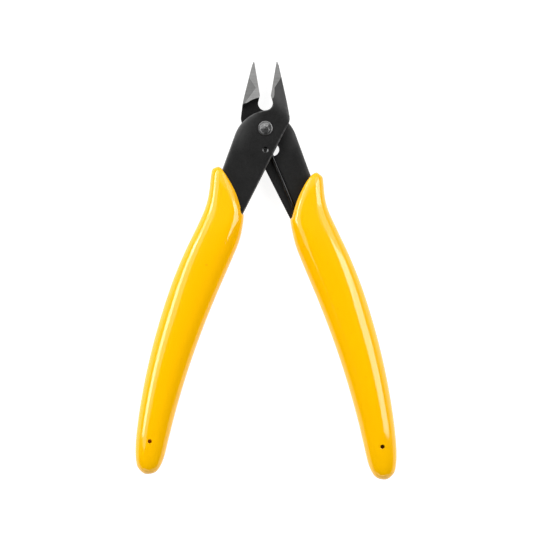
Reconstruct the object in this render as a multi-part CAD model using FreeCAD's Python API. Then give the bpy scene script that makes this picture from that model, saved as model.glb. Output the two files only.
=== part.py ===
"""Flush cutter for electronics work: two stamped steel halves on one rivet, a hairpin return spring, two vinyl grips.

Millimetres. The tool lies on its grips, as on a bench: +Z is up, +Y points from the handles to the jaws, +X is right.
Shapes are drawn in the closed frame, where the pivot axis is the origin, both cutting edges lie on x = 0 and the two
halves meet on z = 0. Each half is then turned open about the pivot and everything is moved to the row frame, whose
origin is the centre of the tool's footprint at bench level.

rear half   jaw on the left, handle on the right, carries the rivet
front half  jaw on the right, handle on the left, lies on top of the rear half and turns on the rivet
"""

import FreeCAD
import Part

import math
import os

from FreeCAD import Placement, Rotation, Vector

# ---- driving dimensions -------------------------------------------------------------------------------------------
PIVOT = Vector(-0.2, 42.66, 5.32)     # where the pivot axis crosses the plane between the halves
HALF_OPEN = 9.3                       # each half is this far open at rest, degrees
LEVER_ANGLE = 9.2                     # a handle leans out by this much when the jaws are closed, degrees

PLATE = 2.5                           # thickness of each stamped half
HALF_GAP = 0.03                       # each half stands this far off the plane between them
FACE_IN = HALF_GAP                    # |z| of the faces that slide on each other
FACE_OUT = HALF_GAP + PLATE           # |z| of the outer faces
EDGE_ROUND = 0.5                      # rolled edge of a half's outer face

JAW_TIP_Y = 20.4
JAW_HEEL_Y = 10.0                     # lower end of the cutting edge
REAR_JAW_BULGE = 0.35                 # the rear jaw is this much fuller along its outer edge
JAW_GAP = 0.02                        # each cutting edge stays this far from the other's when closed
JAW_SHOULDER_R = 9.4                  # beyond this radius a jaw is as thick as both halves
JAW_SHOULDER_RAMP = 2.3               # the back of the front jaw rises this much on a 45 degree cone
NOTCH_R = 2.16
SHOULDER_ROUND = 11.2
JAW_CORNER_ROUND = 3.2

FLUSH_KINK_Y = 12.4                   # the heel relief meets the flush face here
FLUSH_KINK_Z = 1.67
FLUSH_ANGLE = 21.0                    # flush faces to the handles, degrees
RELIEF_ANGLE = 12.0                   # heel relief to the handles, degrees
WEDGE_ANGLE = 62.0                    # cutting wedge, flush face to bevel, degrees
BEND_CORNER = (0.8, 11.9)             # the unground bend of the front jaw starts from this point of its flush face
BEND_SLOPES = (-0.285, -0.264)
BEND_ROUND = 9.0                      # radius of the bend
FACET_CORNER = (-1.1, 12.9)           # ground facet on the outer edge of the rear jaw
FACET_SLOPES = (0.121, -0.333)

RIVET_R = 1.75
RIVET_HEAD_R = 2.2
RIVET_HEAD_H = 0.75
RIVET_CLEARANCE = 0.04                # radial, in the front half only

PIN_R = 0.95                          # spring pin, where it is pressed into the front half
PIN_CUP_R = 0.9                       # its end is a shallow cup
PIN_CUP_FLOOR_R = 0.55
PIN_CUP_DEPTH = 0.2
PIN_TAIL_R = 0.55
PIN_DROP = 6.45                       # pivot to spring pin, straight down when open
PIN_RECESS = 0.5                      # its end lies this far below the front face
SLOT_R = 1.95                         # slot for the spring pin in the rear half
SLOT_DROP = 6.65                      # pivot to the slot's middle line
SLOT_OVERRUN = 0.5                    # beyond the closed position, degrees

WIRE_R = 0.55                         # return spring
BEND_R = PIN_TAIL_R + 0.05 + WIRE_R
LEG_ANGLE = 22.6                      # each spring leg to the centre line when open, degrees
LEG_LENGTH = 37.0
GROOVE_DEPTH = 0.62                   # recess for the wire in each half
GROOVE_CLEARANCE = 0.08

GRIP_HALF_THICKNESS = 5.3
RIM_ROUND = 1.15
VENT_R = 0.62
VENT = (99.7, 3.05)                   # along and across the lever
RIGHT_GRIP_SLIP = 1.7                 # the right grip is pushed on this much less than the left one
RIGHT_GRIP_TILT = -0.75               # and its mouth sits turned out by this much, degrees
GRIP_TILT_POINT = (91.0, 3.8)

BIG = 60.0
UP = Vector(0, 0, 1)


# ---- frames and small helpers -------------------------------------------------------------------------------------
def lever(along, across, z=0.0):
    """A point of the rear half's handle in the closed frame, from its place along the lever and outward across it."""
    s, c = math.sin(math.radians(LEVER_ANGLE)), math.cos(math.radians(LEVER_ANGLE))
    return Vector(along * s + across * c, -along * c + across * s, z)


def lever_placement():
    """Takes a solid drawn with the lever straight down, outward along +X, to the closed frame of the rear half."""
    return Placement(Vector(), Rotation(UP, LEVER_ANGLE))


def mirrored(shape):
    return shape.mirror(Vector(), Vector(1, 0, 0))


def swung(point, degrees):
    return Rotation(UP, degrees).multVec(point)


def turned(shape, degrees):
    turned_copy = shape.copy()
    turned_copy.rotate(Vector(), UP, degrees)
    return turned_copy


def line(start, end):
    return Part.makeLine(start, end)


def curve(points):
    spline = Part.BSplineCurve()
    spline.interpolate(points)
    return spline.toShape()


def rounded_outline(corners):
    """A closed wire of straight lines and tangent arcs from (point, corner radius) pairs."""
    edges = []
    ends = []
    count = len(corners)
    for i, (corner, radius) in enumerate(corners):
        to_last = (corners[i - 1][0] - corner).normalize()
        to_next = (corners[(i + 1) % count][0] - corner).normalize()
        if radius == 0:
            ends.append((corner, corner, None))
            continue
        half = to_last.getAngle(to_next) / 2
        reach = radius / math.tan(half)
        inward = (to_last + to_next).normalize()
        middle = corner + inward * (radius / math.sin(half) - radius)
        ends.append((corner + to_last * reach, corner + to_next * reach, middle))
    for i, (start, end, middle) in enumerate(ends):
        if middle is not None:
            edges.append(Part.Arc(start, middle, end).toShape())
        following = ends[(i + 1) % count][0]
        if (following - end).Length > 1e-6:
            edges.append(line(end, following))
    return Part.Wire(edges)


def plate_of(face, z_low, z_high):
    solid = face.extrude(Vector(0, 0, z_high - z_low))
    solid.translate(Vector(0, 0, z_low))
    return solid


def rod(radius, z_low, z_high, centre=Vector()):
    return Part.makeCylinder(radius, z_high - z_low, Vector(centre.x, centre.y, z_low), UP)


def block_above(x, y, z, slope_x, slope_y):
    """Everything near the jaws that stands above the plane through (x, y, z) with these slopes."""
    normal = Vector(-slope_x, -slope_y, 1)
    box = Part.makeBox(BIG, BIG, BIG, Vector(-BIG / 2, -BIG / 2, 0))
    box.Placement = Placement(Vector(x, y, z), Rotation(UP, normal))
    return box


def bend_above(x, y, z, slope_x, slope_y, level):
    """Everything above a surface that leaves the level face in a rounded bend and then falls with these slopes."""
    slope = math.hypot(slope_x, slope_y)
    angle = math.atan(slope)
    foot = (z - level) / slope
    reach = BEND_ROUND * math.tan(angle / 2)
    flat = Vector(foot - reach, 0, level)
    fall = Vector(math.cos(angle), 0, -math.sin(angle))
    middle_angle = angle / 2
    middle = flat + Vector(math.sin(middle_angle), 0, math.cos(middle_angle) - 1) * BEND_ROUND
    corner = Vector(foot, 0, level)
    end = corner + fall * BIG / 2
    edges = [
        Part.Arc(flat, middle, corner + fall * reach).toShape(),
        line(corner + fall * reach, end),
        line(end, Vector(end.x, 0, BIG / 2)),
        line(Vector(end.x, 0, BIG / 2), Vector(flat.x, 0, BIG / 2)),
        line(Vector(flat.x, 0, BIG / 2), flat),
    ]
    solid = Part.Face(Part.Wire(edges)).extrude(Vector(0, BIG, 0))
    solid.translate(Vector(0, -BIG / 2, 0))
    heading = math.degrees(math.atan2(-slope_y, -slope_x))
    solid.Placement = Placement(Vector(x, y, 0), Rotation(UP, heading)).multiply(solid.Placement)
    return solid


def flush_z(y):
    """Height of both cutting edges along the jaws."""
    slope = FLUSH_ANGLE if y > FLUSH_KINK_Y else RELIEF_ANGLE
    return FLUSH_KINK_Z - (y - FLUSH_KINK_Y) * math.tan(math.radians(slope))


# ---- the stamped halves -------------------------------------------------------------------------------------------
def half_outline(jaw_bulge=0.0):
    """Outline of the rear half in the closed frame: jaw on the left, handle to the lower right."""
    return Part.Face(rounded_outline([
        (Vector(-JAW_GAP, JAW_TIP_Y), 0),
        (Vector(-0.3, JAW_TIP_Y), 0),
        (Vector(-0.88, JAW_TIP_Y - 0.9), 1.2),
        (Vector(-5.3 - jaw_bulge, 8.3), 45),
        (Vector(-6.95, 3.62), JAW_CORNER_ROUND),
        (lever(47, 1.26), 40),
        (lever(84, 2.3), 60),
        (lever(104.5, 0.9), 1.7),
        (lever(103.2, 4.7), 1.7),
        (lever(82, 8.3), 60),
        (lever(54, 9.4), 60),
        (Vector(7.36, 3.55), SHOULDER_ROUND),
        (Vector(-1.86, 6.09), NOTCH_R),
        (Vector(-JAW_GAP, JAW_HEEL_Y), 0),
    ]))


def rounded_plate(face, z_low, z_high):
    """A stamped plate whose outer face has a rolled edge everywhere below the jaw."""
    plate = plate_of(face, z_low, z_high)
    outer_z = max(z_low, z_high, key=abs)
    rolled = []
    for edge in plate.Edges:
        box = edge.BoundBox
        on_face = box.ZLength < 1e-6 and abs(box.ZMin - outer_z) < 1e-6
        middle = edge.valueAt((edge.FirstParameter + edge.LastParameter) / 2)
        if on_face and middle.y < 5.6:
            rolled.append(edge)
    return plate.makeFillet(EDGE_ROUND, rolled)


def jaw_block(face):
    """Full-thickness jaw beyond the shoulder."""
    whole = plate_of(face, -FACE_OUT, FACE_OUT)
    beyond = Part.makeBox(BIG, BIG, BIG, Vector(-BIG / 2, 4.0, -BIG / 2))
    return whole.common(beyond).cut(rod(JAW_SHOULDER_R, -BIG / 2, BIG / 2))


def bevel_cutter():
    """Takes the back of the rear half's jaw away behind the cutting edge, in two runs that meet at the kink."""
    reach = 3.6
    depth = reach * math.tan(math.radians(WEDGE_ANGLE))
    y, z = FLUSH_KINK_Y, FLUSH_KINK_Z
    corners = [Vector(0, y, z), Vector(-reach, y, z - depth), Vector(1, y, z - depth), Vector(1, y, z)]
    profile = Part.Face(Part.makePolygon(corners + corners[:1]))
    tipward = profile.extrude(Vector(0, 10, flush_z(y + 10) - z))
    heel_run = y - 7.4
    heelward = profile.extrude(Vector(0, -heel_run, flush_z(y - heel_run) - z))
    # the grinding wheel runs out on a slope instead of a step
    run_out = Part.makeBox(BIG, BIG, BIG, Vector(-BIG / 2, -BIG, -BIG / 2))
    run_out.Placement = Placement(Vector(0, 9.6, 0), Rotation(Vector(1, 0, 0), -38))
    return [tipward, heelward.cut(run_out)]


def slot_solid():
    """Slot that the spring pin travels in, from open to closed, cut through the rear half."""
    first, last = -HALF_OPEN, HALF_OPEN + SLOT_OVERRUN
    ring = rod(SLOT_DROP + SLOT_R, -BIG / 2, BIG / 2).cut(rod(SLOT_DROP - SLOT_R, -BIG / 2, BIG / 2))
    reach = 20.0
    left, right = swung(Vector(0, -reach, 0), first), swung(Vector(0, -reach, 0), last)
    wedge = plate_of(Part.Face(Part.makePolygon([Vector(), left, right, Vector()])), -BIG / 2, BIG / 2)
    ends = [rod(SLOT_R, -BIG / 2, BIG / 2, swung(Vector(0, -SLOT_DROP, 0), a)) for a in (first, last)]
    return ring.common(wedge).multiFuse(ends).removeSplitter()


def spring_leg_line():
    """Start and direction of the right leg in the closed frame of the rear half."""
    pin = Vector(0, -PIN_DROP, 0)
    lean = math.radians(LEG_ANGLE)
    direction = Vector(math.sin(lean), -math.cos(lean), 0)
    start = pin + Vector(math.cos(lean), math.sin(lean), 0) * BEND_R
    return swung(start, -HALF_OPEN), swung(direction, -HALF_OPEN)


def groove_solid():
    """Recess along the inner edge of the rear half for the spring's bend and right leg."""
    start, direction = spring_leg_line()
    outward = Vector(-direction.y, direction.x, 0)
    wall = WIRE_R + GROOVE_CLEARANCE
    top = start + outward * wall - direction * BEND_R
    end = start + outward * wall + direction * (LEG_LENGTH + 1.0)
    inner = 14.0
    corners = [top, end, end - outward * inner, top - outward * inner]
    strip = Part.Face(Part.makePolygon(corners + corners[:1])).extrude(Vector(0, 0, BIG))
    pin = swung(Vector(0, -PIN_DROP, 0), -HALF_OPEN)
    bend = rod(SLOT_R, 0, BIG, pin)
    keep_above = -FACE_IN - GROOVE_DEPTH
    groove = strip.fuse(bend)
    groove.translate(Vector(0, 0, keep_above))
    return groove


def flush_cutters():
    flush = math.tan(math.radians(FLUSH_ANGLE))
    relief = math.tan(math.radians(RELIEF_ANGLE))
    return [
        block_above(0, FLUSH_KINK_Y, FLUSH_KINK_Z, 0, -flush),
        block_above(0, FLUSH_KINK_Y, FLUSH_KINK_Z, 0, -relief),
    ]


def rear_half():
    face = half_outline(REAR_JAW_BULGE)
    solid = rounded_plate(face, -FACE_OUT, -FACE_IN).fuse(jaw_block(face)).removeSplitter()
    cutters = flush_cutters()
    cutters.append(block_above(*FACET_CORNER, flush_z(FACET_CORNER[1]), *FACET_SLOPES))
    cutters += bevel_cutter()
    cutters += [slot_solid(), groove_solid(), rod(RIVET_R, -BIG / 2, BIG / 2)]
    for cutter in cutters:
        solid = solid.cut(cutter)
    return solid


def front_half():
    face = half_outline()
    pin = swung(Vector(0, -PIN_DROP, 0), HALF_OPEN)
    plate = mirrored(rounded_plate(face, FACE_IN, FACE_OUT))
    solid = plate.fuse(mirrored(jaw_block(face))).removeSplitter()
    cutters = flush_cutters()
    cutters.append(bend_above(*BEND_CORNER, flush_z(BEND_CORNER[1]), *BEND_SLOPES, FACE_OUT))
    cutters += [mirrored(c) for c in bevel_cutter()]
    wide, height = JAW_SHOULDER_R + JAW_SHOULDER_RAMP, JAW_SHOULDER_RAMP
    cutters.append(Part.makeCone(wide, JAW_SHOULDER_R, height, Vector(0, 0, -FACE_OUT), UP))
    cutters.append(mirrored(groove_solid()).mirror(Vector(), UP))
    cutters += [rod(PIN_R, -BIG / 2, BIG / 2, pin), rod(RIVET_R + RIVET_CLEARANCE, -BIG / 2, BIG / 2)]
    for cutter in cutters:
        solid = solid.cut(cutter)
    return solid


# ---- rivet, spring pin and spring ---------------------------------------------------------------------------------
def turned_section(points):
    """A solid of revolution about the z axis from (radius, z) points."""
    corners = [Vector(r, 0, z) for r, z in points]
    return Part.Face(Part.makePolygon(corners + corners[:1])).revolve(Vector(), UP, 360)


def pivot_rivet():
    head_rim = 0.32
    dome = RIVET_HEAD_H - head_rim
    body = rod(RIVET_R, -FACE_OUT - 0.1, FACE_OUT + 0.1)
    heads = []
    for side in (1, -1):
        clearance = 0.02 if side > 0 else 0.0
        base = FACE_OUT + clearance
        rim = rod(RIVET_HEAD_R, base, base + head_rim)
        chord = RIVET_HEAD_R - 0.28
        sphere_r = (chord ** 2 + dome ** 2) / (2 * dome)
        cap = Part.makeSphere(sphere_r, Vector(0, 0, base + head_rim + dome - sphere_r))
        above = Part.makeBox(BIG, BIG, BIG, Vector(-BIG / 2, -BIG / 2, base + head_rim))
        rim_top = [e for e in rim.Edges if e.BoundBox.ZMin > base + head_rim - 1e-6]
        rim = rim.makeChamfer(0.14, rim_top)
        head = rim.fuse(cap.common(above).common(rod(RIVET_HEAD_R - 0.14, 0, BIG)))
        heads.append(head if side > 0 else head.mirror(Vector(), UP))
    return body.multiFuse(heads).removeSplitter()


def spring_pin():
    front_z = FACE_OUT - PIN_RECESS
    points = [
        (0, -FACE_OUT + 0.3), (PIN_TAIL_R - 0.12, -FACE_OUT + 0.3), (PIN_TAIL_R, -FACE_OUT + 0.42),
        (PIN_TAIL_R, FACE_IN + GROOVE_DEPTH), (PIN_R, FACE_IN + GROOVE_DEPTH),
        (PIN_R, front_z), (PIN_CUP_R, front_z), (PIN_CUP_FLOOR_R, front_z - PIN_CUP_DEPTH),
        (0, front_z - PIN_CUP_DEPTH),
    ]
    return turned_section(points)


def return_spring():
    """Hairpin of round wire, drawn open: the bend sits round the spring pin, the legs lie in the two recesses."""
    pin = Vector(0, -PIN_DROP, 0)
    lean = math.radians(LEG_ANGLE)
    right = pin + Vector(math.cos(lean), math.sin(lean), 0) * BEND_R
    left = Vector(-right.x, right.y, 0)
    top = pin + Vector(0, BEND_R, 0)
    run = Vector(math.sin(lean), -math.cos(lean), 0) * LEG_LENGTH
    right_end = right + run
    left_end = Vector(-right_end.x, right_end.y, 0)
    path = Part.Wire([line(left_end, left), Part.Arc(left, top, right).toShape(), line(right, right_end)])
    section = Part.Wire([Part.makeCircle(WIRE_R, left_end, left - left_end)])
    return path.makePipeShell([section], True, False)


# ---- grips --------------------------------------------------------------------------------------------------------
# along the lever, inner edge, outer edge, share of the full half thickness
GRIP_STATIONS = [
    (10.0, -2.0, 11.7, 0.80),
    (18.0, -2.2, 11.2, 0.88),
    (23.0, -2.3, 10.05, 0.93),
    (28.0, -2.75, 9.55, 0.97),
    (34.0, -3.3, 10.1, 1.0),
    (42.0, -2.8, 11.15, 1.0),
    (51.0, -2.0, 11.85, 1.0),
    (60.0, -1.4, 11.95, 1.0),
    (70.0, -1.05, 11.6, 0.99),
    (80.0, -1.08, 10.75, 0.97),
    (90.0, -1.5, 9.4, 0.93),
    (98.0, -2.1, 7.9, 0.87),
    (103.5, -2.5, 6.5, 0.78),
    (106.8, -2.1, 5.2, 0.65),
    (108.6, -1.1, 4.0, 0.46),
]
GRIP_END = (109.7, 1.45)
SECTION_POWER = 2.3
SECTION_POINTS = 16
# the mouth, from the inner side over the horn to the outer side
MOUTH = [
    (29.5, -5.2), (27.0, -2.45), (24.6, -0.35), (21.4, 2.05), (18.6, 4.8), (16.3, 7.7), (15.4, 9.3), (15.9, 10.8),
    (18.0, 12.6),
]


def hanging(along, across, z=0.0):
    """A point of the lever frame, where the handle hangs straight down and outward is +X."""
    return Vector(across, -along, z)


def grip_section(along, inner, outer, share):
    centre, half_width = (inner + outer) / 2, (outer - inner) / 2
    half_height = GRIP_HALF_THICKNESS * share
    points = []
    for i in range(SECTION_POINTS):
        a = 2 * math.pi * i / SECTION_POINTS
        c, s = math.cos(a), math.sin(a)
        x = math.copysign(abs(c) ** (2 / SECTION_POWER), c) * half_width
        z = math.copysign(abs(s) ** (2 / SECTION_POWER), s) * half_height
        points.append(hanging(along, centre + x, z))
    spline = Part.BSplineCurve()
    spline.interpolate(points, PeriodicFlag=True)
    return Part.Wire([spline.toShape()])


def grip_body():
    """Outside of a grip with its mouth cut and rim rounded, in the lever frame."""
    sections = [grip_section(*s) for s in GRIP_STATIONS]
    sections.append(Part.Vertex(hanging(*GRIP_END)))
    hull = Part.makeLoft(sections, True, False)
    first, last = MOUTH[0], MOUTH[-1]
    mouth = Part.Face(Part.Wire([
        curve([hanging(*p) for p in MOUTH]),
        line(hanging(*last), hanging(last[0], 20)),
        line(hanging(last[0], 20), hanging(-5, 20)),
        line(hanging(-5, 20), hanging(-5, -12)),
        line(hanging(-5, -12), hanging(first[0], -12)),
        line(hanging(first[0], -12), hanging(*first)),
    ]))
    open_hull = hull.cut(plate_of(mouth, -BIG / 2, BIG / 2)).Solids[0]
    rim = [e for e in open_hull.Edges if e.BoundBox.YMin > -40 and e.BoundBox.ZLength > 1]
    return open_hull.makeFillet(RIM_ROUND, rim)


def grip(slip, tilt, tang):
    """A grip in the closed frame of the rear half, with its pocket, the spring leg's channel and the vent."""
    body = grip_body()
    pivot_of_tilt = hanging(*GRIP_TILT_POINT)
    body.rotate(pivot_of_tilt, UP, tilt)
    body.translate(Vector(0, -slip, 0))
    body.Placement = lever_placement().multiply(body.Placement)
    vent = Part.Vertex(hanging(*VENT))
    vent.rotate(pivot_of_tilt, UP, tilt)
    vent.translate(Vector(0, -slip, 0))
    vent_at = lever_placement().multVec(vent.Point)
    start, direction = spring_leg_line()
    outward = Vector(-direction.y, direction.x, 0)
    wall = WIRE_R + GROOVE_CLEARANCE
    near, far = start + outward * wall, start + direction * (LEG_LENGTH + 1.0) + outward * wall
    corners = [near, far, far - outward * 2 * wall, near - outward * 2 * wall]
    channel = plate_of(Part.Face(Part.makePolygon(corners + corners[:1])), -FACE_IN - 1.0, WIRE_R + GROOVE_CLEARANCE)
    return body.cut(tang).cut(channel).cut(rod(VENT_R, -FACE_IN - PLATE / 2, BIG / 2, vent_at))


# ---- assembly -----------------------------------------------------------------------------------------------------
def build():
    face = half_outline()
    rear_blank = plate_of(face, -FACE_OUT, -FACE_IN)
    front_blank = plate_of(face, FACE_IN, FACE_OUT)
    front_grip = grip(0, 0, front_blank)
    parts = {
        "rear_half": turned(rear_half(), HALF_OPEN),
        "front_half": turned(front_half(), -HALF_OPEN),
        "pivot_rivet": pivot_rivet(),
        "return_spring": return_spring(),
        "right_grip": turned(grip(RIGHT_GRIP_SLIP, RIGHT_GRIP_TILT, rear_blank), HALF_OPEN),
        "left_grip": turned(mirrored(front_grip), -HALF_OPEN),
    }
    pin = spring_pin()
    pin.translate(Vector(0, -PIN_DROP, 0))
    parts["spring_pin"] = pin
    for shape in parts.values():
        shape.translate(PIVOT)
    return parts


def main():
    os.makedirs("parts", exist_ok=True)
    parts = build()
    whole = Part.makeCompound(list(parts.values()))
    for name, shape in sorted(parts.items()):
        solids = shape.Solids
        print(f"{name}: {len(solids)} solid(s), {shape.Volume:.1f} mm3, valid {shape.isValid()}")
        Part.makeCompound(solids).exportStep(f"parts/{name}.step")
    box = whole.optimalBoundingBox()
    print(f"x {box.XMin:.2f} {box.XMax:.2f}  y {box.YMin:.2f} {box.YMax:.2f}  z {box.ZMin:.2f} {box.ZMax:.2f}")


main()
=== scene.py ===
"""Flush cutter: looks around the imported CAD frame. Lengths are in millimetres until a mesh or light is made."""

import math

import bmesh
import bpy
from mathutils import Matrix, Vector, noise


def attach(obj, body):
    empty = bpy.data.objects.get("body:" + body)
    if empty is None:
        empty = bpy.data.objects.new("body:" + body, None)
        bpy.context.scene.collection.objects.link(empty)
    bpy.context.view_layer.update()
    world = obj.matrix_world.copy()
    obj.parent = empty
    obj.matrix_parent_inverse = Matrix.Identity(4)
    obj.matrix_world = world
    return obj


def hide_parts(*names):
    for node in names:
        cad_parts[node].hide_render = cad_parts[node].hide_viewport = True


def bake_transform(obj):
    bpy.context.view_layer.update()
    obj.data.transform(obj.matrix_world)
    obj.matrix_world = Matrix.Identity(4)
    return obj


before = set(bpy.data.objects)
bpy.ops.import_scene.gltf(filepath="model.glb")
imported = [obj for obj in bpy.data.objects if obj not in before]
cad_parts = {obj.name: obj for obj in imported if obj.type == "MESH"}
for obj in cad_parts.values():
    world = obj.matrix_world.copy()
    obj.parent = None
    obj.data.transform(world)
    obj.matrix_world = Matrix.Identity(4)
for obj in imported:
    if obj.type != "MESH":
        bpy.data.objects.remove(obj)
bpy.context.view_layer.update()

MM = 0.001
PIVOT = Vector((-0.2, 42.66, 5.32))
HALF_OPEN = 9.3                       # a half's turn from the closed tool to the open one, degrees
LEVER_ANGLE = 9.2                     # a handle's lean outwards when the tool is closed, degrees
FACE_IN = 0.03                        # a half's inner and outer faces, from the middle plane
FACE_OUT = 2.53
PIN_DROP = 6.45                       # pivot to the spring pin's axis
LEG_ANGLE = 22.6                      # lean of the spring's legs when the tool is open, degrees


def bridge(bm, rings):
    """Faces between each closed ring of vertices and the next one."""
    for a, b in zip(rings, rings[1:]):
        for i in range(len(a)):
            j = (i + 1) % len(a)
            bm.faces.new((a[i], a[j], b[j], b[i]))


def add_object(name, bm, smooth=True):
    """Makes an object of the scene from a bmesh, and frees the bmesh."""
    mesh = bpy.data.meshes.new(name)
    bm.to_mesh(mesh)
    bm.free()
    if smooth:
        mesh.shade_smooth()
    made = bpy.data.objects.new(name, mesh)
    bpy.context.scene.collection.objects.link(made)
    return made


# ---- grips ---------------------------------------------------------------------------------------------------------
HALF_THICKNESS = 5.3
SECTION_POWER = 2.3
# near the mouth the section is squarer: how much, and where that starts and ends along the grip
OUTER_SQUARER = (0.6, 64.0, 34.0)
INNER_SQUARER = (0.45, 34.0, 27.0)
# along the grip, inner edge, outer edge, share of the half thickness; the last one lies past the tip
STATIONS = [
    (10.0, 0.2, 11.7, 0.66), (18.0, -0.4, 11.2, 0.74), (23.0, -1.0, 10.05, 0.80), (28.0, -2.5, 9.55, 0.88),
    (34.0, -3.3, 10.1, 0.96), (42.0, -2.8, 11.15, 1.0), (51.0, -2.0, 11.85, 1.0), (60.0, -1.4, 11.95, 1.0),
    (70.0, -1.05, 11.6, 0.99), (80.0, -1.08, 10.75, 0.97), (90.0, -1.5, 9.4, 0.93), (98.0, -2.1, 7.9, 0.87),
    (103.5, -2.5, 6.5, 0.78), (106.8, -2.1, 5.2, 0.65), (108.6, -1.1, 4.0, 0.46), (109.7, 1.45, 1.45, 0.0),
    (108.6, 4.0, -1.1, -0.46),
]
END_KNOT = len(STATIONS) - 2
# the mouth as (across, along); the right grip's horn is blunter and leans in
MOUTH = [(-5.2, 27.3), (-2.3, 26.5), (-1.3, 26.1), (-0.35, 24.7), (2.05, 21.4)]
LEFT_HORN = [(4.8, 18.6), (7.7, 16.25), (9.2, 15.3), (10.6, 15.6), (12.6, 16.3)]
RIGHT_HORN = [(4.8, 18.4), (6.4, 17.0), (8.0, 15.95), (9.4, 15.5), (10.5, 15.7), (11.3, 16.45), (12.6, 18.4)]
RIGHT_LEAN = 0.5
LEAN_FROM, LEAN_TO = 33.0, 23.0
MOUTH_BETWEEN = (8.0, 40.0)           # the mouth is looked for between these places along
# the right grip is pushed on less and tilted, degrees, about a point given as (across, -along)
RIGHT_SLIP, RIGHT_TILT = 1.7, -0.75
TILT_CENTRE = (3.8, -91.0)
# the lever's inner and outer edges as (along, across)
TANG_INNER = [(-4.68, -6.28), (47.0, 1.26), (84.0, 2.3), (103.0, 1.0), (120.0, 1.0)]
TANG_OUTER = [(-2.33, 7.83), (54.0, 9.4), (82.0, 8.3), (101.5, 4.9), (120.0, 4.0)]
COLUMNS = 48
ANGLES = [2 * math.pi * i / COLUMNS for i in range(COLUMNS)]
# from here to the closed end each row lies at one place along; nearer the mouth the rows follow the mouth
SQUARE_FROM = 36.0
# the pocket round the tang
POCKET_GAP = 0.03
POCKET_POWER = 9
POCKET_ROWS = (105.3, 105.1, 103.0, 97.0, 88.0, 76.0, 64.0, 54.0, 45.0, SQUARE_FROM)
POCKET_END = (105.4, 2.9)
POCKET_END_INSET = 0.6
# channel in the pocket's inner face, as (along, across) of its start; it runs beside the spring's leg, 2.2 mm further
# out, so it doesn't clear the wire
CHANNEL_START = (6.0, 1.3)
CHANNEL_END = 46.0
CHANNEL_DEPTH = 0.6
CHANNEL_HALF_WIDTH = 0.8
# the rolled rim: depth and length at the inner side, on the faces and at the outer side
RIM_DEPTH = (0.3, 1.85, 1.3)
RIM_LENGTH = (0.4, 3.5, 1.3)
RIM_TURNS = (90, 70, 52, 35, 18, 0)
RIM_END = 1.3                         # the plain outside starts at this many rim lengths
WALL_TOP = 2.8
# the vent's place as (along, across), the grid column that it takes, and the eight points round it as (row, column)
VENT = (99.7, 3.05)
VENT_COLUMN = 11
VENT_AROUND = ((-1, -1), (-1, 0), (-1, 1), (0, 1), (1, 1), (1, 0), (1, -1), (0, -1))
OUTSIDE_ROWS = [SQUARE_FROM + 2.0 * k for k in range(31)]
OUTSIDE_ROWS += [97.5, 98.6, VENT[0], 100.9, 102.2, 103.4, 104.6, 105.8, 106.8]
# the closed end: its rows as (station, share of the way to the next one)
END_ROWS = ((END_KNOT - 2, 0.5), (END_KNOT - 1, 0.0), (END_KNOT - 1, 0.35), (END_KNOT - 1, 0.7))
END_POWER = 2.1


def hermite(points, x):
    """Values at x of the smooth curve through (x, value...) points, given by rising x."""
    def slope(k):
        before, after = points[max(k - 1, 0)], points[min(k + 1, len(points) - 1)]
        return [(q - p) / (after[0] - before[0]) for p, q in zip(before[1:], after[1:])]

    i = 0
    while i < len(points) - 2 and x > points[i + 1][0]:
        i += 1
    a, b = points[i], points[i + 1]
    h = b[0] - a[0]
    f = (x - a[0]) / h
    h00, h10, h01, h11 = 2*f**3 - 3*f**2 + 1, f**3 - 2*f**2 + f, -2*f**3 + 3*f**2, f**3 - f**2
    return [p * h00 + s * h * h10 + q * h01 + t * h * h11
            for p, q, s, t in zip(a[1:], b[1:], slope(i), slope(i + 1))]


def catmull(a, b, c, d, f):
    """Value between b and c of the smooth curve through four evenly spaced values."""
    return 0.5 * (2*b + (c - a) * f + (2*a - 5*b + 4*c - d) * f**2 + (3*b - a - 3*c + d) * f**3)


def station(along):
    """(inner, outer, share) of the grip's outside at a place along it."""
    return hermite(STATIONS[:END_KNOT + 1], along)


def superellipse(angle, power):
    c, s = math.cos(angle), math.sin(angle)
    return (math.copysign(abs(c) ** (2 / power), c), math.copysign(abs(s) ** (2 / power), s))


def rounded_box(angle, power):
    c, s = math.cos(angle), math.sin(angle)
    m = (abs(c) ** power + abs(s) ** power) ** (-1 / power)
    return c * m, s * m


def section_power(along, outwards):
    """How square the grip's section is at a place along it, on its outer or its inner side."""
    more, start, end = OUTER_SQUARER if outwards else INNER_SQUARER
    near = min(max((start - along) / (start - end), 0.0), 1.0)
    return SECTION_POWER + near * near * (3 - 2 * near) * more


def outside(along, angle, inset=0.0):
    """Point (along, across, z) of the outside, moved in by inset."""
    inner, outer, share = station(along)
    x, z = superellipse(angle, section_power(along, math.cos(angle) > 0))
    a, b = (outer - inner) / 2, HALF_THICKNESS * share
    nx, nz = x / a, z / b
    size = math.hypot(nx, nz)
    return Vector((along, (inner + outer) / 2 + x * a - inset * nx / size, z * b - inset * nz / size))


def end_point(i, f, angle):
    """Point (along, across, z) of the closed end, f of the way from station i to the next."""
    along, inner, outer, share = [catmull(*values, f) for values in zip(*STATIONS[i - 1:i + 3])]
    x, z = superellipse(angle, END_POWER)
    return along, (inner + outer) / 2 + x * (outer - inner) / 2, z * HALF_THICKNESS * share


def surface_z(along, across):
    """Height of the outside over a place of the grip."""
    inner, outer, share = station(along)
    x = abs(across - (inner + outer) / 2) / ((outer - inner) / 2)
    return HALF_THICKNESS * share * (1 - x ** SECTION_POWER) ** (1 / SECTION_POWER)


def solve(function, low, high):
    """Where a rising function crosses zero, by halving."""
    for _ in range(40):
        middle = (low + high) / 2
        if function(middle) < 0:
            low = middle
        else:
            high = middle
    return (low + high) / 2


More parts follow.
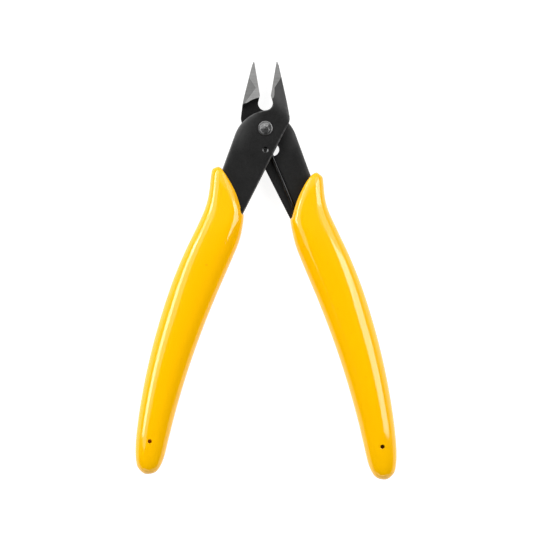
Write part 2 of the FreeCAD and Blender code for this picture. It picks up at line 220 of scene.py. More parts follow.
def round_rim(sizes, angle):
    """Blend of the rim's sizes at the inner side, on the faces and at the outer side."""
    face = math.sin(angle) ** 2
    return sizes[1] * face + (sizes[2] if math.cos(angle) > 0 else sizes[0]) * (1 - face)


class Grip:
    """Where one grip's points go: side +1 is the right grip on the rear half, -1 the left grip on the front half."""

    def __init__(self, side, slip, tilt):
        self.side = side
        self.slip = slip
        self.tilt = math.radians(tilt)
        self.centre = Vector(TILT_CENTRE)
        self.mouth = MOUTH + (RIGHT_HORN if side > 0 else LEFT_HORN)
        self.lean = RIGHT_LEAN if side > 0 else 0.0

    def mouth_along(self, across):
        """Where along the grip the mouth lies."""
        return hermite(self.mouth, min(max(across, self.mouth[0][0]), self.mouth[-1][0]))[0]

    def lean_at(self, along):
        f = min(max((LEAN_FROM - along) / (LEAN_FROM - LEAN_TO), 0.0), 1.0)
        return self.lean * f * f * (3 - 2 * f)

    def to_lever(self, along, across):
        """From the grip's own (along, across) to the lever's."""
        p = Vector((across - self.lean_at(along), -along)) - self.centre
        c, s = math.cos(self.tilt), math.sin(self.tilt)
        q = self.centre + Vector((p.x * c - p.y * s, p.x * s + p.y * c)) - Vector((0, self.slip))
        return -q.y, q.x

    def to_grip(self, along, across):
        """From the lever's (along, across) to the grip's own."""
        p = Vector((across, -along)) + Vector((0, self.slip)) - self.centre
        c, s = math.cos(self.tilt), math.sin(self.tilt)
        q = self.centre + Vector((p.x * c + p.y * s, -p.x * s + p.y * c))
        return -q.y, q.x + self.lean_at(-q.y)

    def place(self, point, in_lever=False):
        """Scene coordinates, in metres, of a point of the grip, or of the lever with in_lever."""
        along, across = (point[0], point[1]) if in_lever else self.to_lever(point[0], point[1])
        a = math.radians(LEVER_ANGLE + HALF_OPEN)
        x = across * math.cos(a) + along * math.sin(a)
        y = across * math.sin(a) - along * math.cos(a)
        return (PIVOT + Vector((self.side * x, y, point[2]))) * MM

    def pocket(self, along, angle, gap=POCKET_GAP):
        """Point (along, across, z) of the pocket round the tang, in the lever's frame, with the channel."""
        inner, outer = hermite(TANG_INNER, along)[0] - gap, hermite(TANG_OUTER, along)[0] + gap
        x, z = rounded_box(angle, POCKET_POWER)
        middle = -self.side * (FACE_IN + FACE_OUT) / 2
        half = (FACE_OUT - FACE_IN) / 2 + gap
        across = (inner + outer) / 2 + x * (outer - inner) / 2
        height = middle + z * half
        lean = math.tan(math.radians(LEG_ANGLE - LEVER_ANGLE - HALF_OPEN))
        channel = CHANNEL_START[1] + (along - CHANNEL_START[0]) * lean
        on_inner_face = z * self.side > 0.9
        if on_inner_face and along < CHANNEL_END:
            height += self.side * CHANNEL_DEPTH * math.exp(-((across - channel) / CHANNEL_HALF_WIDTH) ** 4)
        return Vector((along, across, height))

    def mouth_in_lever(self, angle):
        """Where along the lever the pocket's wall reaches the mouth."""
        def beyond(along):
            a, c = self.to_grip(along, self.pocket(along, angle)[1])
            return a - self.mouth_along(c)
        return solve(beyond, *MOUTH_BETWEEN)

    def rim_start(self, angle):
        """Where along the grip its outside would reach the mouth."""
        return solve(lambda t: t - self.mouth_along(outside(t, angle)[1]), *MOUTH_BETWEEN)

    def rim_point(self, angle, turn):
        """Point (along, across, z) of the rolled rim; turn is 0 at the outside and a quarter turn at the mouth."""
        start = self.rim_start(angle)
        across = outside(start, angle)[1]
        lean = (self.mouth_along(across + 0.2) - self.mouth_along(across - 0.2)) / 0.4
        stretch = math.sqrt(1 + lean * lean * math.sin(angle) ** 2)
        room = HALF_THICKNESS * station(start)[2] - WALL_TOP
        depth = round_rim((RIM_DEPTH[0], min(RIM_DEPTH[1], room), RIM_DEPTH[2]), angle)
        t = start + round_rim(RIM_LENGTH, angle) * stretch * (1 - math.sin(turn))
        p = outside(t, angle, depth * (1 - math.cos(turn)))
        if turn > math.pi / 2 - 0.01:
            p = Vector((self.mouth_along(p[1]), p[1], p[2]))
        return p


def ring(function):
    """The function's value at each column's angle."""
    return [function(angle) for angle in ANGLES]


def pocket_rows(grip, starts):
    """The pocket, from its closed end out to just inside the mouth."""
    rows = []
    for along in POCKET_ROWS:
        gap = -POCKET_END_INSET if along == POCKET_ROWS[0] else POCKET_GAP
        rows.append(ring(lambda a: grip.place(grip.pocket(along, a, gap), True)))
    for share in (0.6, 0.25, 0.05):
        rows.append([grip.place(grip.pocket(t + (SQUARE_FROM - t) * share, a), True) for a, t in zip(ANGLES, starts)])
    return rows


def mouth_rows(grip, starts):
    """The wall of the mouth and the rolled rim."""
    inner_edge = [grip.pocket(t, a) for a, t in zip(ANGLES, starts)]
    outer_edge = ring(lambda a: grip.rim_point(a, math.pi / 2))
    rows = [[grip.place(p, True) for p in inner_edge]]
    for share in (0.12, 0.55):
        row = []
        for p, q in zip(inner_edge, outer_edge):
            across = grip.to_grip(p[0], p[1])[1]
            mixed = Vector((0, across, p[2])).lerp(Vector((0, q[1], q[2])), share)
            row.append(grip.place((grip.mouth_along(mixed[1]), mixed[1], mixed[2])))
        rows.append(row)
    for turn in RIM_TURNS:
        rows.append(ring(lambda a: grip.place(grip.rim_point(a, math.radians(turn)))))
    return rows


def outside_rows(grip):
    """The outside from the rim to the closed end, and which of these rows holds the vent."""
    starts = ring(lambda a: grip.rim_start(a) + round_rim(RIM_LENGTH, a) * RIM_END)
    rows = []
    for share in (0.12, 0.25, 0.4, 0.55, 0.7, 0.85):
        rows.append([grip.place(outside(t + (SQUARE_FROM - t) * share, a)) for a, t in zip(ANGLES, starts)])
    vent_row = len(rows) + OUTSIDE_ROWS.index(VENT[0])
    for along in OUTSIDE_ROWS:
        rows.append(ring(lambda a: grip.place(outside(along, a))))
    for i, f in END_ROWS:
        rows.append(ring(lambda a: grip.place(end_point(i, f, a))))
    return rows, vent_row


def cut_vent(bm, grid, grip, row):
    """A small round blind hole with a rounded lip, down to the tang."""
    around = [grid[row + r][(VENT_COLUMN + c) % COLUMNS] for r, c in VENT_AROUND]
    bmesh.ops.delete(bm, geom=[grid[row][VENT_COLUMN]], context="VERTS")
    directions = [Vector((r, -c)).normalized() for r, c in VENT_AROUND]

    def circle(radius, sink=0.0, height=None):
        points = []
        for d in directions:
            along, across = VENT[0] + d.x * radius, VENT[1] + d.y * radius
            z = surface_z(along, across) - sink if height is None else height
            points.append(grip.place((along, across, z)))
        return points

    for vertex, point in zip(around, circle(1.0)):
        vertex.co = point
    walls = (circle(0.76), circle(0.68, sink=0.1), circle(0.66, sink=0.4), circle(0.66, height=1.0),
             circle(0.66, height=-1.2), circle(0.5, height=-1.28))
    rings = [around] + [[bm.verts.new(point) for point in points] for points in walls]
    bridge(bm, rings)
    bm.faces.new(rings[-1])


def make_grip(name, node, body, side, slip, tilt):
    """A dipped grip as one closed skin: pocket, mouth, rolled rim, outside and closed end."""
    grip = Grip(side, slip, tilt)
    starts = ring(grip.mouth_in_lever)
    inner_rows = pocket_rows(grip, starts) + mouth_rows(grip, starts)
    outer_rows, vent_row = outside_rows(grip)
    bm = bmesh.new()
    grid = [[bm.verts.new(p) for p in row] for row in inner_rows + outer_rows]
    bridge(bm, grid)
    deep = bm.verts.new(grip.place((*POCKET_END, -side * (FACE_IN + FACE_OUT) / 2), True))
    tip = bm.verts.new(grip.place((*STATIONS[END_KNOT][:2], 0)))
    for i in range(COLUMNS):
        j = (i + 1) % COLUMNS
        bm.faces.new((deep, grid[0][j], grid[0][i]))
        bm.faces.new((tip, grid[-1][i], grid[-1][j]))
    cut_vent(bm, grid, grip, len(inner_rows) + vent_row)
    bmesh.ops.recalc_face_normals(bm, faces=bm.faces)
    piece = add_object(name, bm)
    smooth = piece.modifiers.new("smooth", "SUBSURF")
    smooth.levels = smooth.render_levels = 2
    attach(piece, body)
    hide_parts(node)
    return piece


left_grip = make_grip("left_grip_sleeve", "left_grip", "front", -1, 0.0, 0.0)
right_grip = make_grip("right_grip_sleeve", "right_grip", "rear", 1, RIGHT_SLIP, RIGHT_TILT)

# ---- return spring -------------------------------------------------------------------------------------------------
WIRE_R = 0.55
WIRE_SIDES = 20
BEND_R = 1.15
BEND_STEPS = 24
LEG_LENGTH = 37.0
LEG_STEPS = 60
PIN = PIVOT + Vector((0, -PIN_DROP, 0))
# the wire's rounded ends: how far beyond its last full ring, share of its radius
ROUND_END = ((0.03, 0.95), (0.08, 0.82), (0.10, 0.62))


def spring_path():
    """Centre line of the hairpin, from the left leg's end over the pin to the right leg's end."""
    lean = math.radians(LEG_ANGLE)
    down = Vector((math.sin(lean), -math.cos(lean), 0))
    top = PIN + Vector((math.cos(lean), math.sin(lean), 0)) * BEND_R
    right_leg = [top + down * (LEG_LENGTH * k / LEG_STEPS) for k in range(LEG_STEPS + 1)]
    left_leg = [Vector((2 * PIN.x - p.x, p.y, p.z)) for p in reversed(right_leg)]
    bend = []
    for k in range(1, BEND_STEPS):
        a = math.pi - lean - (math.pi - 2 * lean) * k / BEND_STEPS
        bend.append(PIN + Vector((math.cos(a), math.sin(a), 0)) * BEND_R)
    return left_leg + bend + right_leg


def make_spring():
    path = spring_path()
    bm = bmesh.new()
    rings = []

    def add_ring(centre, side, radius):
        rings.append([
            bm.verts.new((centre + (side * math.cos(a) + Vector((0, 0, 1)) * math.sin(a)) * radius) * MM)
            for a in (2 * math.pi * k / WIRE_SIDES for k in range(WIRE_SIDES))
        ])

    for i, p in enumerate(path):
        tangent = (path[min(i + 1, len(path) - 1)] - path[max(i - 1, 0)]).normalized()
        side = tangent.cross(Vector((0, 0, 1)))
        if i == 0:
            for beyond, share in reversed(ROUND_END):
                add_ring(p - tangent * beyond, side, WIRE_R * share)
        add_ring(p, side, WIRE_R)
        if i == len(path) - 1:
            for beyond, share in ROUND_END:
                add_ring(p + tangent * beyond, side, WIRE_R * share)
    bridge(bm, rings)
    bm.faces.new(list(reversed(rings[0])))
    bm.faces.new(rings[-1])
    bmesh.ops.recalc_face_normals(bm, faces=bm.faces)
    piece = add_object("return_spring_wire", bm)
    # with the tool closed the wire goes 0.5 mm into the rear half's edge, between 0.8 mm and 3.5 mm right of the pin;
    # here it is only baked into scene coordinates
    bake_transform(piece)
    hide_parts("return_spring")
    return piece


return_spring = make_spring()

# ---- pivot rivet ---------------------------------------------------------------------------------------------------
RIVET_SIDES = 72
HEAD_R = 2.2
# radius and height of a head's outline, counted from HEAD_LIFT outside the half's face; the first point lies 0.02 mm
# inside the half
HEAD_LIFT = 0.02
HEAD = [
    (1.75, -0.04), (2.08, 0.0), (2.17, 0.02), (2.2, 0.07), (2.2, 0.17), (2.17, 0.26), (2.1, 0.33), (2.0, 0.365),
    (1.91, 0.36), (1.84, 0.33), (1.78, 0.315), (1.7, 0.325), (1.6, 0.35), (1.45, 0.38), (1.28, 0.41), (1.1, 0.435),
    (0.92, 0.455), (0.74, 0.47), (0.56, 0.483), (0.38, 0.49), (0.2, 0.495),
]


HEAD_TOP = 0.496                      # height of the middle
SMOOTH_BELOW = 0.3                    # lower points of the head aren't dented
CROWN_R = 1.75
CROWN_FADE = 0.3
# hammer marks: how many per mm, depth; and the rim's own
DENTS = ((0.95, 0.11), (2.6, 0.04))
RIM_DENT = 0.012
DENT_SEEDS = (3.1, 8.7)               # upper head, lower head


def dented(radius, angle, height, seed):
    """Height of a point of a head after hammering."""
    if height <= SMOOTH_BELOW:
        return height
    if radius > CROWN_R:
        return height + RIM_DENT * noise.noise(Vector((math.cos(angle) * 2, math.sin(angle) * 2, seed)))
    p = Vector((radius * math.cos(angle), radius * math.sin(angle), seed))
    fade = min(1.0, (CROWN_R - radius) / CROWN_FADE)
    return height + fade * sum(depth * noise.noise(p * per_mm) for per_mm, depth in DENTS)


def make_rivet():
    """Stem and both heads as one closed skin."""
    bm = bmesh.new()

    def vertex(side, seed, radius, angle, height):
        z = side * (FACE_OUT + HEAD_LIFT + dented(radius, angle, height, seed))
        return bm.verts.new((PIVOT + Vector((radius * math.cos(angle), radius * math.sin(angle), z))) * MM)

    heads = []
    for side, seed in zip((1, -1), DENT_SEEDS):
        rows = [[vertex(side, seed, radius, 2 * math.pi * k / RIVET_SIDES, height) for k in range(RIVET_SIDES)]
                for radius, height in HEAD]
        pole = vertex(side, seed, 0.0, 0.0, HEAD_TOP)
        for k in range(RIVET_SIDES):
            bm.faces.new((rows[-1][k], rows[-1][(k + 1) % RIVET_SIDES], pole))
        heads.append(rows)
    upper, lower = heads
    bridge(bm, list(reversed(lower)) + upper)
    bmesh.ops.recalc_face_normals(bm, faces=bm.faces)
    piece = add_object("hammered_rivet", bm)
    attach(piece, "rear")
    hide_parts("pivot_rivet")
    return piece


rivet = make_rivet()


# ---- materials -----------------------------------------------------------------------------------------------------
class Look:
    """A node material: fields of noise in the piece's own coordinates drive a Principled shader."""

    def __init__(self, name, **sockets):
        self.material = bpy.data.materials.new(name)
        self.material.use_nodes = True
        self.nodes = self.material.node_tree.nodes
        self.links = self.material.node_tree.links
        self.shader = self.nodes["Principled BSDF"]
        self.coordinates = self.nodes.new("ShaderNodeTexCoord")
        for key, value in sockets.items():
            self.shader.inputs[key.replace("_", " ")].default_value = value

    def link(self, source, target):
        if isinstance(source, (int, float)):
            target.default_value = source
        else:
            self.links.new(source, target)

    def mapped(self, scale=(1, 1, 1), turn=0.0, shift=(0, 0, 0)):
        node = self.nodes.new("ShaderNodeMapping")
        node.inputs["Scale"].default_value = scale
        node.inputs["Rotation"].default_value = (0, 0, math.radians(turn))
        node.inputs["Location"].default_value = shift
        self.links.new(self.coordinates.outputs["Object"], node.inputs["Vector"])
        return node.outputs["Vector"]

    def noise(self, per_mm, detail=2.0, scale=(1, 1, 1), turn=0.0, roughness=0.5, shift=(0, 0, 0)):
        node = self.nodes.new("ShaderNodeTexNoise")
        node.inputs["Scale"].default_value = per_mm / MM
        node.inputs["Detail"].default_value = detail
        node.inputs["Roughness"].default_value = roughness
        self.links.new(self.mapped(scale, turn, shift), node.inputs["Vector"])
        return node.outputs["Fac"]

    def ramp(self, source, *stops):
        node = self.nodes.new("ShaderNodeValToRGB")
        elements = node.color_ramp.elements
        while len(elements) < len(stops):
            elements.new(0.5)
        for element, (place, value) in zip(elements, stops):
            element.position = place
            colour = value if isinstance(value, tuple) else (value,) * 3
            element.color = (*colour, 1)
        self.links.new(source, node.inputs["Fac"])
        return node.outputs["Color"]

    def math(self, operation, a, b=0.0, clamp=False):
        node = self.nodes.new("ShaderNodeMath")
        node.operation = operation
        node.use_clamp = clamp
        self.link(a, node.inputs[0])
        self.link(b, node.inputs[1])
        return node.outputs[0]

    def mix(self, factor, a, b):
        node = self.nodes.new("ShaderNodeMix")
        node.data_type = "RGBA"
        self.link(factor, node.inputs["Factor"])
        for value, socket in ((a, node.inputs["A"]), (b, node.inputs["B"])):
            if isinstance(value, tuple):
                socket.default_value = (*value, 1)
            else:
                self.links.new(value, socket)
        return node.outputs["Result"]

    def part(self, source, axis):
        node = self.nodes.new("ShaderNodeSeparateXYZ")
        self.links.new(source, node.inputs[0])
        return node.outputs[axis]

    def length(self, x, y):
        return self.math("SQRT", self.math("ADD", self.math("MULTIPLY", x, x), self.math("MULTIPLY", y, y)))

    def plane_distance(self, x, y, point, normal):
        """How far (x, y) lies beyond the line through a point, along its normal."""
        across = self.math("ADD", self.math("MULTIPLY", x, normal[0]), self.math("MULTIPLY", y, normal[1]))
        return self.math("SUBTRACT", across, point[0] * normal[0] + point[1] * normal[1])

    def bump(self, height, distance, strength=1.0, under=None):
        node = self.nodes.new("ShaderNodeBump")
        node.inputs["Strength"].default_value = strength
        node.inputs["Distance"].default_value = distance * MM
        self.links.new(height, node.inputs["Height"])
        if under is not None:
            self.links.new(under, node.inputs["Normal"])
        return node.outputs["Normal"]

    def finish(self, colour, roughness, normal=None, metallic=None):
        self.links.new(colour, self.shader.inputs["Base Color"])
        self.links.new(roughness, self.shader.inputs["Roughness"])
        if normal is not None:
            self.links.new(normal, self.shader.inputs["Normal"])
        if metallic is not None:
            self.link(metallic, self.shader.inputs["Metallic"])
        return self.material


def grey(level):
    return (level,) * 3


def closed_shift(turn):
    """Mapping location that takes a half's own coordinates to the closed frame, pivot at the origin."""
    moved = Matrix.Rotation(math.radians(turn), 3, "Z") @ (PIVOT * MM)
    return tuple(-moved)


# painted highlight bands of the halves, from the pivot in the closed frame, with the half's handle at +X: the handle's
# outer edge as a point and its outward normal, and the shoulder's arc that takes over above SHOULDER_FROM
HANDLE_EDGE = ((7.36, 3.55), (0.9823, 0.1873))
SHOULDER_CENTRE = (-2.336, -5.396)
SHOULDER_R = 11.2
SHOULDER_FROM = -3.3
# how far the painted highlight bands reach in from the edge, and how far below the pivot the shoulder's one goes
EDGE_HIGHLIGHT_WIDTH = 2.4
SHOULDER_HIGHLIGHT_WIDTH = 5.2
SHOULDER_REACH = 9.0
# the bands fade in from this place on towards the handle's side
HIGHLIGHT_FROM, HIGHLIGHT_FADE = 1.0, 6.0
# the front jaw's outer edge, not mirrored, and how far the painted highlight reaches in from it and starts above the
# pivot
JAW_EDGE = ((5.3, 8.3), (0.943, 0.3325))
JAW_HIGHLIGHT_WIDTH = 0.8
JAW_HIGHLIGHT_FROM = 2.6


def towards_edge(look, beyond, width):
    """0 at a width inside an edge, 1 on the edge."""
    return look.math("DIVIDE", look.math("ADD", beyond, width), width)


def edge_highlight_bands(look, x, y):
    """Painted highlight: paler bands along the outer edge of the handle and along the shoulder."""
    from_line = look.plane_distance(x, y, *HANDLE_EDGE)
    dx, dy = (look.math("SUBTRACT", value, centre) for value, centre in zip((x, y), SHOULDER_CENTRE))
    from_arc = look.math("SUBTRACT", look.length(dx, dy), SHOULDER_R)
    on_arc = look.math("GREATER_THAN", y, SHOULDER_FROM)
    from_edge = look.math("ADD", from_line, look.math("MULTIPLY", on_arc, look.math("SUBTRACT", from_arc, from_line)))
    straight_band = look.ramp(towards_edge(look, from_edge, EDGE_HIGHLIGHT_WIDTH),
                              (0.0, 0.0), (0.5, 0.06), (0.78, 0.25), (1.0, 1.0))
    shoulder_band = look.ramp(towards_edge(look, from_edge, SHOULDER_HIGHLIGHT_WIDTH),
                              (0.0, 0.0), (0.35, 0.16), (0.72, 0.30), (0.88, 0.62), (1.0, 1.0))
    near_shoulder = look.ramp(towards_edge(look, y, SHOULDER_REACH), (0.0, 0.0), (0.7, 1.0))
    band = look.math("MAXIMUM", straight_band, look.math("MULTIPLY", shoulder_band, near_shoulder))
    fade = look.math("DIVIDE", look.math("SUBTRACT", x, HIGHLIGHT_FROM), HIGHLIGHT_FADE, clamp=True)
    return look.math("MULTIPLY", band, fade)


def jaw_edge_highlight(look, x, y):
    """Painted highlight along the front jaw's outer edge."""
    from_edge = look.plane_distance(look.math("MULTIPLY", x, -1.0), y, *JAW_EDGE)
    edge_sheen = look.ramp(towards_edge(look, from_edge, JAW_HIGHLIGHT_WIDTH), (0.0, 0.0), (0.38, 0.30), (1.0, 0.9))
    return look.math("MULTIPLY", edge_sheen, look.math("SUBTRACT", y, JAW_HIGHLIGHT_FROM, clamp=True))


def blackened_steel(name, turn, front):
    """Blackened steel with worn edges, fine scratches and painted highlights and shade, for the front half or the rear
    half.
    """
    look = Look(name, Specular_IOR_Level=0.16)
    grain = look.noise(2.6, 3.0, roughness=0.65)
    mottle = look.noise(0.16, 3.0)
    colour = look.mix(0.45, look.ramp(grain, (0.3, grey(0.0052)), (0.72, grey(0.0175))),
                      look.ramp(mottle, (0.32, grey(0.0066)), (0.7, grey(0.0152))))
    roughness = look.ramp(grain, (0.3, 0.36), (0.7, 0.48))
    # worn, brighter steel on the rolled edges
    upward = look.math("ABSOLUTE", look.part(look.coordinates.outputs["Normal"], "Z"))
    edge = look.ramp(upward, (0.12, 0.0), (0.34, 1.0), (0.86, 1.0), (0.985, 0.0))
    rub_and_sheen = look.ramp(look.noise(0.7, 3.0, roughness=0.6), (0.36, 0.25), (0.62, 1.0))
    colour = look.mix(look.math("MULTIPLY", edge, rub_and_sheen), colour, grey(0.085))
    # fine handling scratches
    streaks = look.ramp(look.noise(1.1, 2.0, scale=(9, 0.35, 1), turn=31), (0.655, 0.0), (0.70, 1.0))
    patches = look.ramp(look.noise(0.12, 1.0), (0.45, 0.0), (0.65, 0.55))
    colour = look.mix(look.math("MULTIPLY", streaks, patches), colour, grey(0.035))
    closed = look.mapped(turn=turn, shift=closed_shift(turn))
    if not front:
        # painted shade: the neck under the rear jaw, in the trench between the jaw and the front half, is darkened
        neck_shade_height = look.math("DIVIDE", look.part(closed, "Y"), 10.0 * MM)
        colour = look.mix(look.ramp(neck_shade_height, (0.30, 0.0), (0.48, 0.5)), colour, grey(0.002))
    x = look.math("MULTIPLY", look.part(closed, "X"), (-1 if front else 1) / MM)
    y = look.math("DIVIDE", look.part(closed, "Y"), MM)
    # painted highlight along the handle's outer edge and the shoulder, broken up by the noise
    band = look.math("MULTIPLY", edge_highlight_bands(look, x, y), look.ramp(rub_and_sheen, (0.0, 0.7), (1.0, 1.0)))
    colour = look.mix(band, colour, grey(0.10))
    if front:
        # painted highlight along the front jaw's outer edge
        colour = look.mix(look.math("MULTIPLY", jaw_edge_highlight(look, x, y), rub_and_sheen), colour, grey(0.13))
        # painted light: the front jaw is made paler and smoother up towards its tip, where its bend turns towards the
        # light
        jaw_height = look.math("DIVIDE", look.part(closed, "Y"), 14.0 * MM)
        jaw_painted_light = look.ramp(jaw_height, (0.36, 0.0), (0.62, 0.62), (0.80, 1.0))
        jaw_painted_light = look.math("MULTIPLY", jaw_painted_light, look.ramp(look.noise(0.45, 3.0), (0.3, 0.75), (0.7, 1.0)))
        colour = look.mix(jaw_painted_light, colour, grey(0.042))
        roughness = look.mix(jaw_painted_light, roughness, grey(0.38))
    return look.finish(colour, roughness, look.bump(grain, 0.012, 0.55))


def ground_steel(name, turn, low, high):
    """Bare ground steel with grinding lines across the jaw."""
    look = Look(name, Metallic=1.0)
    lines = look.noise(5.0, 3.0, scale=(0.05, 1, 0.4), turn=turn, roughness=0.7)
    wide = look.noise(0.5, 2.0, scale=(0.3, 1, 1), turn=turn)
    colour = look.mix(0.4, look.ramp(lines, (0.3, grey(low)), (0.7, grey(high))),
                      look.ramp(wide, (0.3, grey(low)), (0.7, grey(high))))
    colour = look.mix(0.12, colour, (high * 0.95, high * 0.92, high * 0.86))
    roughness = look.ramp(lines, (0.3, 0.34), (0.7, 0.46))
    return look.finish(colour, roughness, look.bump(lines, 0.006, 0.5))


def rivet_steel():
    look = Look("burnished_rivet", Metallic=1.0)
    placed = look.mapped(shift=tuple(-PIVOT * MM))
    x, y = (look.math("DIVIDE", look.part(placed, axis), HEAD_R * MM) for axis in ("X", "Y"))
    grain = look.noise(4.0, 3.0, roughness=0.6)
    # painted light and shade: the crown is paler towards the upper left and darker on the lower right, broken up by
    # noise
    across = look.math("SUBTRACT", look.math("MULTIPLY", x, 0.27), look.math("MULTIPLY", y, 0.30))
    crown_light_and_shade = look.math("ADD", across, look.math("MULTIPLY", look.noise(0.85, 2.0, shift=(0.0117, 0.0031, 0)), 1.1))
    colour = look.ramp(crown_light_and_shade, (0.38, grey(0.30)), (0.54, grey(0.19)), (0.66, grey(0.035)))
    colour = look.mix(0.25, colour, look.ramp(grain, (0.3, grey(0.035)), (0.7, grey(0.22))))
    radius = look.length(x, y)
    ring = look.ramp(radius, (0.815, 0.0), (0.86, 1.0), (0.965, 1.0), (0.985, 0.0))
    # painted shade in the groove between the crown and the rim
    groove_shade = look.ramp(radius, (0.76, 0.0), (0.79, 0.6), (0.83, 0.6), (0.86, 0.0))
    colour = look.mix(groove_shade, colour, grey(0.02))
    # painted highlight: the rim is paler on the upper right and stays dark on the lower left
    rim_lit_side = look.math("ADD", look.math("MULTIPLY", x, 0.45), look.math("MULTIPLY", y, 0.60))
    rim_lit_side = look.math("ADD", rim_lit_side, 0.42, clamp=True)
    colour = look.mix(look.math("MULTIPLY", ring, 0.9), colour, look.mix(rim_lit_side, grey(0.05), grey(0.28)))
    roughness = look.ramp(look.noise(1.3, 2.0), (0.3, 0.42), (0.7, 0.56))
    return look.finish(colour, roughness, look.bump(grain, 0.01, 0.4))


def spring_steel():
    look = Look("drawn_wire", Metallic=1.0)
    draw = look.noise(2.0, 3.0, scale=(1, 0.12, 1))
    colour = look.ramp(draw, (0.3, grey(0.022)), (0.7, grey(0.045)))
    roughness = look.ramp(draw, (0.3, 0.18), (0.7, 0.28))
    return look.finish(colour, roughness, look.bump(draw, 0.006, 0.4))


def pin_steel(name, low, high):
    look = Look(name, Metallic=1.0)
    turned = look.noise(3.0, 3.0)
    colour = look.ramp(turned, (0.3, grey(low)), (0.7, grey(high)))
    roughness = look.ramp(turned, (0.3, 0.30), (0.7, 0.44))
    return look.finish(colour, roughness, look.bump(turned, 0.008, 0.5))


def vinyl():
    """Glossy yellow dipped vinyl: slight colour drift, a faint orange-peel and a few dust-sized specks."""
    look = Look("yellow_vinyl", IOR=1.5)
    drift = look.noise(0.045, 2.0)
    fine = look.noise(1.6, 3.0, roughness=0.6)
    colour = look.mix(0.5, look.ramp(drift, (0.3, (0.880, 0.463, 0.0002)), (0.7, (0.900, 0.486, 0.0002))),
                      look.ramp(fine, (0.3, (0.880, 0.436, 0.0002)), (0.7, (0.905, 0.452, 0.0002))))
    specks = look.ramp(look.noise(0.9, 1.0, roughness=0.3, shift=(0.01, 0, 0)), (0.765, 0.0), (0.80, 0.35))
    colour = look.mix(specks, colour, (0.70, 0.27, 0.01))
    roughness = look.ramp(look.noise(0.35, 3.0), (0.3, 0.055), (0.7, 0.095))
    peel = look.bump(look.noise(0.55, 2.0), 0.004, 0.35)
    return look.finish(colour, roughness, look.bump(fine, 0.004, 0.3, under=peel))


def paint(node, materials, choose, turn):
    """Gives each face of a CAD node one of the materials, by its normal and centre in the closed frame."""
    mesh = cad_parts[node].data
    mesh.materials.clear()
    for material in materials:
        mesh.materials.append(material)
    back = Matrix.Rotation(math.radians(turn), 3, "Z")
    for face in mesh.polygons:
        face.material_index = choose(back @ face.normal, back @ (face.center / MM - PIVOT))


# the ground faces lie further than this from the pivot, up the jaws
FRONT_JAW = 8.5
REAR_JAW, REAR_BEVEL, REAR_SIDE = 8.0, 7.0, 8.2
CUP_R = 0.6                           # the shallow cup in the spring pin's end


def front_finish(n, c):
    """0 blackened, 1 ground: the flush face and the bevel behind the edge."""
    flush = n.z > 0.9 and abs(n.x) < 0.03 and n.y > 0.15 and c.y > FRONT_JAW
    bevel = n.z < -0.3 and n.x < -0.6 and c.y > FRONT_JAW
    return 1 if flush or bevel else 0


def rear_finish(n, c):
    """0 blackened, 1 ground: flush face and bevel, 2 ground steel painted darker as shade: the facet and the jaw's
    side.
    """
    facet = n.z > 0.9 and -0.2 < n.x < -0.05 and n.y > 0.15 and c.y > REAR_JAW
    flush = n.z > 0.9 and abs(n.x) <= 0.05 and n.y > 0.15 and c.y > REAR_JAW
    bevel = n.z < -0.3 and n.x > 0.6 and c.y > REAR_BEVEL
    side = n.x < -0.8 and n.y > 0.2 and c.y > REAR_SIDE
    return 2 if facet or side else 1 if flush or bevel else 0


def pin_finish(n, c):
    """0 the pin's end, 1 the floor of its cup, painted darker as shade."""
    return 1 if n.z > 0.99 and math.hypot(c.x, c.y + PIN_DROP) < CUP_R else 0


front_black = blackened_steel("blackened_steel_front", HALF_OPEN, True)
rear_black = blackened_steel("blackened_steel_rear", -HALF_OPEN, False)
paint("front_half", [front_black, ground_steel("ground_steel_front", HALF_OPEN, 0.19, 0.33)],
      front_finish, HALF_OPEN)
# the rear half's facet and jaw side get a darker copy of the ground steel: painted shade
paint("rear_half", [rear_black, ground_steel("ground_steel_rear", -HALF_OPEN, 0.21, 0.35),
                    ground_steel("shaded_ground_facet", -HALF_OPEN, 0.10, 0.155)],
      rear_finish, -HALF_OPEN)
# the floor of the pin's cup gets darker steel: painted shade in the recess
paint("spring_pin", [pin_steel("pin_end", 0.05, 0.10), pin_steel("pin_cup_floor_shade", 0.02, 0.05)], pin_finish, 0)
return_spring.data.materials.append(spring_steel())
rivet.data.materials.append(rivet_steel())
grip_material = vinyl()
for piece in (left_grip, right_grip):
    piece.data.materials.append(grip_material)


# ---- floor, light and camera ---------------------------------------------------------------------------------------
FLOOR_HALF = 3.0                      # metres
FLOOR_GLOW = 0.91
# the sky's strength: added towards the back, added near the horizon, the least there is, and what the camera sees
SKY_BACK, SKY_LOW, SKY_LEAST, SKY_SEEN = 0.50, 0.20, 0.02, 0.92
LIGHT_DISTANCE = 0.6                  # metres
# name, azimuth and elevation in degrees, width and height in metres, watts
LIGHTS = [
    ("left_strip", 170, 32, 0.32, 0.19, 1.75),
    ("left_strip_back", 142, 32, 0.27, 0.19, 0.80),
    ("left_box", 157, 51, 0.64, 0.24, 1.0),
    ("right_box", 8, 42, 0.27, 0.38, 1.95),
    ("right_box_back", 35, 42, 0.30, 0.38, 0.75),
    ("back_box", 90, 57, 0.60, 0.36, 0.5),
    ("front_low", -90, 9, 0.90, 0.10, 0.8),
]
# the middle and the width of what the camera sees, and its lens
VIEW_CENTRE = (0.13, 0.69)
VIEW_WIDTH = 161.1
LENS, SENSOR = 200, 36


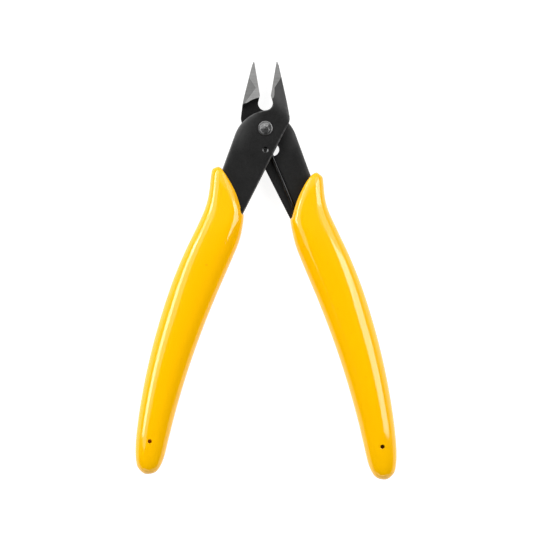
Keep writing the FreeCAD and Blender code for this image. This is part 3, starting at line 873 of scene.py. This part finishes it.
def make_floor():
    bm = bmesh.new()
    for x, y in ((-1, -1), (1, -1), (1, 1), (-1, 1)):
        bm.verts.new((x * FLOOR_HALF, y * FLOOR_HALF, 0))
    bm.faces.new(bm.verts)
    floor = add_object("floor", bm, smooth=False)
    look = Look("white_table", Specular_IOR_Level=0.1)
    look.shader.inputs["Emission Color"].default_value = (1, 1, 1, 1)
    look.shader.inputs["Emission Strength"].default_value = FLOOR_GLOW
    tone = look.noise(0.05, 2.0)
    floor.data.materials.append(look.finish(look.ramp(tone, (0.3, grey(0.245)), (0.7, grey(0.255))),
                                            look.ramp(tone, (0.3, 0.8), (0.7, 0.9))))


def softbox(name, azimuth, elevation, width, height, watts):
    """A rectangular light that looks at the middle of the tool; azimuth counts from +X towards +Y."""
    a, e = math.radians(azimuth), math.radians(elevation)
    direction = Vector((math.cos(a) * math.cos(e), math.sin(a) * math.cos(e), math.sin(e)))
    light = bpy.data.lights.new(name, "AREA")
    light.shape = "RECTANGLE"
    light.size, light.size_y = width, height
    light.energy = watts
    lamp = bpy.data.objects.new(name, light)
    bpy.context.scene.collection.objects.link(lamp)
    lamp.location = direction * LIGHT_DISTANCE
    lamp.rotation_euler = direction.to_track_quat("Z", "Y").to_euler()


def make_world():
    """A plain sky that lights the tool a little, most from the back."""
    world = bpy.data.worlds.new("studio")
    bpy.context.scene.world = world
    world.use_nodes = True
    nodes, links = world.node_tree.nodes, world.node_tree.links
    background = nodes["Background"]
    direction = nodes.new("ShaderNodeTexCoord")
    split = nodes.new("ShaderNodeSeparateXYZ")
    links.new(direction.outputs["Generated"], split.inputs[0])

    def math_node(operation, a, b):
        node = nodes.new("ShaderNodeMath")
        node.operation = operation
        for value, socket in ((a, node.inputs[0]), (b, node.inputs[1])):
            if isinstance(value, (int, float)):
                socket.default_value = value
            else:
                links.new(value, socket)
        return node.outputs[0]

    towards_back = math_node("MULTIPLY", split.outputs["Y"], SKY_BACK)
    near_horizon = math_node("MULTIPLY", math_node("SUBTRACT", 1.0, split.outputs["Z"]), SKY_LOW)
    glow = math_node("ADD", math_node("ADD", towards_back, near_horizon), SKY_LEAST)
    seen = nodes.new("ShaderNodeLightPath").outputs["Is Camera Ray"]
    plain = math_node("MAXIMUM", math_node("MAXIMUM", glow, SKY_LEAST), math_node("MULTIPLY", seen, SKY_SEEN))
    links.new(plain, background.inputs["Strength"])
    background.inputs["Color"].default_value = (1, 1, 1, 1)


def make_camera():
    """Straight down on the tool, with +Y up in the picture."""
    data = bpy.data.cameras.new("camera")
    data.lens = LENS
    data.sensor_width = SENSOR
    camera = bpy.data.objects.new("camera", data)
    bpy.context.scene.collection.objects.link(camera)
    height = PIVOT.z * MM + VIEW_WIDTH * MM * data.lens / data.sensor_width
    camera.location = Vector((VIEW_CENTRE[0] * MM, VIEW_CENTRE[1] * MM, height))
    bpy.context.scene.camera = camera


make_floor()
make_world()
for light in LIGHTS:
    softbox(*light)
make_camera()
bpy.context.scene.view_settings.view_transform = "Standard"
